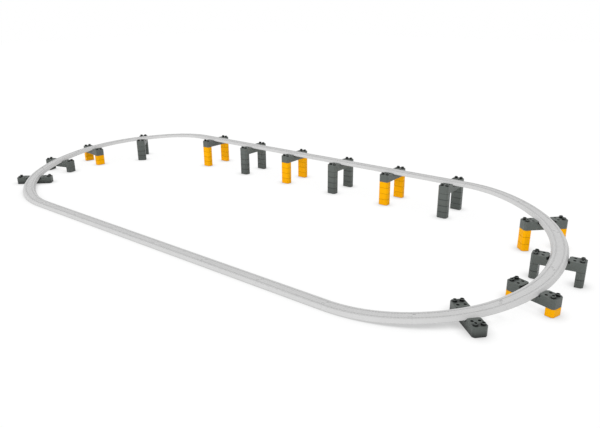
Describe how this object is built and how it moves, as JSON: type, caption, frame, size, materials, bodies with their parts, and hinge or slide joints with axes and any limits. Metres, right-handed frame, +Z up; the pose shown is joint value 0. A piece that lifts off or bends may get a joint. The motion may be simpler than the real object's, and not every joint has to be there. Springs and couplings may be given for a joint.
{
  "type": "elevated toy train track layout",
  "caption": "Oval toy railway of clip-together plastic road sections with moulded rails, ramping up from the floor onto piers of stacked leg blocks and beams.",
  "frame": {"origin": "on the floor, under the middle of the layout's bounding box", "axes": "+X along the straights, +Y towards the raised straight, +Z up"},
  "size_m": [1.9562, 0.7994, 0.1048],
  "materials": {
    "light_grey": "satin",
    "dark_grey": "satin",
    "orange": "satin"
  },
  "bodies": {
    "piers": {"beam_01": "dark_grey", "beam_02": "dark_grey", "beam_03": "dark_grey", "beam_04": "dark_grey", "beam_05": "dark_grey", "beam_06": "dark_grey", "beam_07": "dark_grey", "beam_08": "dark_grey", "beam_09": "dark_grey", "beam_10": "dark_grey", "beam_11": "dark_grey", "beam_12": "dark_grey", "beam_13": "dark_grey", "beam_14": "dark_grey", "leg_blocks_02": "dark_grey", "leg_blocks_03": "orange", "leg_blocks_04": "dark_grey", "leg_blocks_05": "orange", "leg_blocks_06": "dark_grey", "leg_blocks_07": "orange", "leg_blocks_08": "dark_grey", "leg_blocks_09": "orange", "leg_blocks_10": "dark_grey", "leg_blocks_11": "orange", "leg_blocks_12": "dark_grey", "leg_blocks_13": "orange"},
    "straight_back_1": {"straight_back_1": "light_grey"},
    "straight_back_2": {"straight_back_2": "light_grey"},
    "straight_back_3": {"straight_back_3": "light_grey"},
    "straight_back_4": {"straight_back_4": "light_grey"},
    "straight_back_5": {"straight_back_5": "light_grey"},
    "straight_back_6": {"straight_back_6": "light_grey"},
    "curve_right_1": {"curve_right_1": "light_grey"},
    "curve_right_2": {"curve_right_2": "light_grey"},
    "curve_right_3": {"curve_right_3": "light_grey"},
    "curve_right_4": {"curve_right_4": "light_grey"},
    "curve_right_5": {"curve_right_5": "light_grey"},
    "curve_right_6": {"curve_right_6": "light_grey"},
    "straight_front_6": {"straight_front_6": "light_grey"},
    "straight_front_5": {"straight_front_5": "light_grey"},
    "straight_front_4": {"straight_front_4": "light_grey"},
    "straight_front_3": {"straight_front_3": "light_grey"},
    "straight_front_2": {"straight_front_2": "light_grey"},
    "straight_front_1": {"straight_front_1": "light_grey"},
    "curve_left_6": {"curve_left_6": "light_grey"},
    "curve_left_5": {"curve_left_5": "light_grey"},
    "curve_left_4": {"curve_left_4": "light_grey"},
    "curve_left_3": {"curve_left_3": "light_grey"},
    "curve_left_2": {"curve_left_2": "light_grey"},
    "curve_left_1": {"curve_left_1": "light_grey"}
  },
  "joints": [
    {"name": "straight_back_1_lift", "type": "slide", "parent": "piers", "child": "straight_back_1", "axis": [0, 0, 1], "range_m": [0, 0.04]},
    {"name": "straight_back_2_lift", "type": "slide", "parent": "piers", "child": "straight_back_2", "axis": [0, 0, 1], "range_m": [0, 0.04]},
    {"name": "straight_back_3_lift", "type": "slide", "parent": "piers", "child": "straight_back_3", "axis": [0, 0, 1], "range_m": [0, 0.04]},
    {"name": "straight_back_4_lift", "type": "slide", "parent": "piers", "child": "straight_back_4", "axis": [0, 0, 1], "range_m": [0, 0.04]},
    {"name": "straight_back_5_lift", "type": "slide", "parent": "piers", "child": "straight_back_5", "axis": [0, 0, 1], "range_m": [0, 0.04]},
    {"name": "straight_back_6_lift", "type": "slide", "parent": "piers", "child": "straight_back_6", "axis": [0, 0, 1], "range_m": [0, 0.04]},
    {"name": "curve_right_1_lift", "type": "slide", "parent": "piers", "child": "curve_right_1", "axis": [0, 0, 1], "range_m": [0, 0.04]},
    {"name": "curve_right_2_lift", "type": "slide", "parent": "piers", "child": "curve_right_2", "axis": [0, 0, 1], "range_m": [0, 0.04]},
    {"name": "curve_right_3_lift", "type": "slide", "parent": "piers", "child": "curve_right_3", "axis": [0, 0, 1], "range_m": [0, 0.04]},
    {"name": "curve_right_4_lift", "type": "slide", "parent": "piers", "child": "curve_right_4", "axis": [0, 0, 1], "range_m": [0, 0.04]},
    {"name": "curve_right_5_lift", "type": "slide", "parent": "piers", "child": "curve_right_5", "axis": [0, 0, 1], "range_m": [0, 0.04]},
    {"name": "curve_right_6_lift", "type": "slide", "parent": "piers", "child": "curve_right_6", "axis": [0, 0, 1], "range_m": [0, 0.04]},
    {"name": "straight_front_6_lift", "type": "slide", "parent": "piers", "child": "straight_front_6", "axis": [0, 0, 1], "range_m": [0, 0.04]},
    {"name": "straight_front_5_lift", "type": "slide", "parent": "piers", "child": "straight_front_5", "axis": [0, 0, 1], "range_m": [0, 0.04]},
    {"name": "straight_front_4_lift", "type": "slide", "parent": "piers", "child": "straight_front_4", "axis": [0, 0, 1], "range_m": [0, 0.04]},
    {"name": "straight_front_3_lift", "type": "slide", "parent": "piers", "child": "straight_front_3", "axis": [0, 0, 1], "range_m": [0, 0.04]},
    {"name": "straight_front_2_lift", "type": "slide", "parent": "piers", "child": "straight_front_2", "axis": [0, 0, 1], "range_m": [0, 0.04]},
    {"name": "straight_front_1_lift", "type": "slide", "parent": "piers", "child": "straight_front_1", "axis": [0, 0, 1], "range_m": [0, 0.04]},
    {"name": "curve_left_6_lift", "type": "slide", "parent": "piers", "child": "curve_left_6", "axis": [0, 0, 1], "range_m": [0, 0.04]},
    {"name": "curve_left_5_lift", "type": "slide", "parent": "piers", "child": "curve_left_5", "axis": [0, 0, 1], "range_m": [0, 0.04]},
    {"name": "curve_left_4_lift", "type": "slide", "parent": "piers", "child": "curve_left_4", "axis": [0, 0, 1], "range_m": [0, 0.04]},
    {"name": "curve_left_3_lift", "type": "slide", "parent": "piers", "child": "curve_left_3", "axis": [0, 0, 1], "range_m": [0, 0.04]},
    {"name": "curve_left_2_lift", "type": "slide", "parent": "piers", "child": "curve_left_2", "axis": [0, 0, 1], "range_m": [0, 0.04]},
    {"name": "curve_left_1_lift", "type": "slide", "parent": "piers", "child": "curve_left_1", "axis": [0, 0, 1], "range_m": [0, 0.04]}
  ]
}
